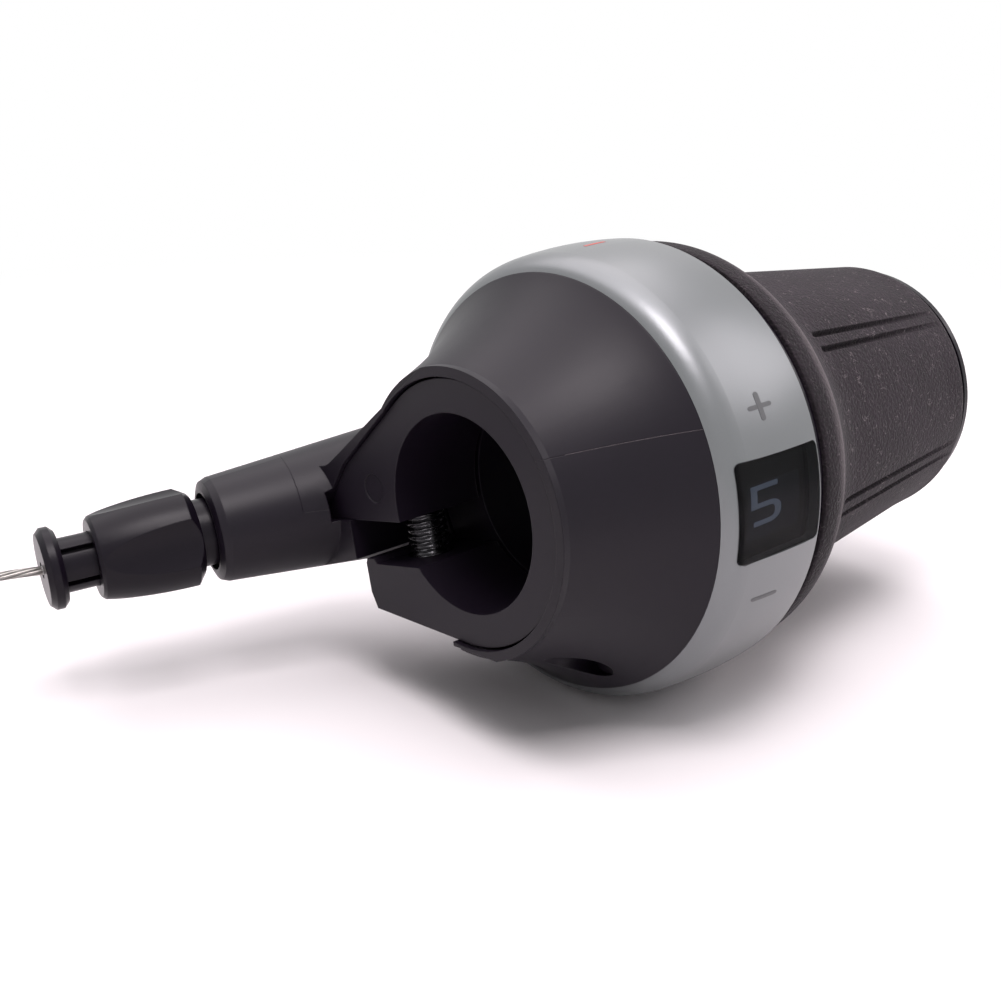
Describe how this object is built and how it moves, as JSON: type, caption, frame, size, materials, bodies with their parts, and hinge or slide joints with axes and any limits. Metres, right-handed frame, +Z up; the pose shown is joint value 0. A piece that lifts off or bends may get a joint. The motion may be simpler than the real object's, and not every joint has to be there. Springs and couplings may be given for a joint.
{
  "type": "twist grip shifter",
  "caption": "Twist grip gear shifter for a bicycle handlebar: clamp, silver display ring with window, ribbed rubber grip and adjustable cable exit.",
  "frame": {"origin": "bar axis at the inboard face of the clamp", "axes": "+X along the handlebar, outboard to the grip's open end; +Y forward, to the clamp slot and the cable; +Z up"},
  "size_m": [0.1583, 0.0678, 0.0524],
  "materials": {
    "black_plastic": "satin",
    "core_plastic": "gloss",
    "knob_plastic": "satin",
    "grey_plastic": "satin",
    "dial_plastic": "matt",
    "silver_paint": "satin",
    "smoked_lens": "gloss",
    "grip_rubber": "matt",
    "zinc_steel": "satin",
    "spring_steel": "satin",
    "cable_steel": "satin",
    "tie_plastic": "matt",
    "cap_metal": "satin"
  },
  "bodies": {
    "bracket": {"clamp_bracket": "black_plastic", "clamp_bolt": "zinc_steel", "clamp_insert": "zinc_steel", "housing_screws": "zinc_steel", "upper_housing": "black_plastic", "lower_housing": "black_plastic", "display_ring": "silver_paint", "window_lens": "smoked_lens", "detent_spring": "spring_steel", "thrust_washer": "grey_plastic", "retaining_clip": "spring_steel", "cable_guide": "grey_plastic", "inner_cable": "cable_steel", "cable_route": "cable_steel", "cable_coil": "cable_steel", "cable_tie": "tie_plastic", "cable_end_cap": "cap_metal"},
    "grip": {"twist_sleeve": "core_plastic", "grip_rubber": "grip_rubber", "cable_drum": "grey_plastic", "detent_ring": "grey_plastic", "cable_nipple": "zinc_steel", "number_drum": "dial_plastic"},
    "cable_stop": {"cable_stop_plug": "knob_plastic"},
    "adjuster": {"adjuster_knob": "knob_plastic", "adjuster_screw": "knob_plastic"}
  },
  "joints": [
    {"name": "grip_twist", "type": "hinge", "parent": "bracket", "child": "grip", "pos_m": [0.04, 0, 0], "axis": [1, 0, 0], "range_deg": [0, 112], "deforming": ["inner_cable", "detent_spring"]},
    {"name": "adjuster_travel", "type": "slide", "parent": "bracket", "child": "cable_stop", "axis": [-0.9589, 0.275, -0.0705], "range_m": [-0.0008, 0.003]},
    {"name": "adjuster_turn", "type": "hinge", "parent": "cable_stop", "child": "adjuster", "pos_m": [-0.01828, 0.03372, -0.00834], "axis": [-0.9589, 0.275, -0.0705], "range_deg": [-288, 1080]}
  ],
  "couplings": [
    {"joint": "adjuster_turn", "follows": "adjuster_travel", "rad_per_m": 6283.2}
  ]
}
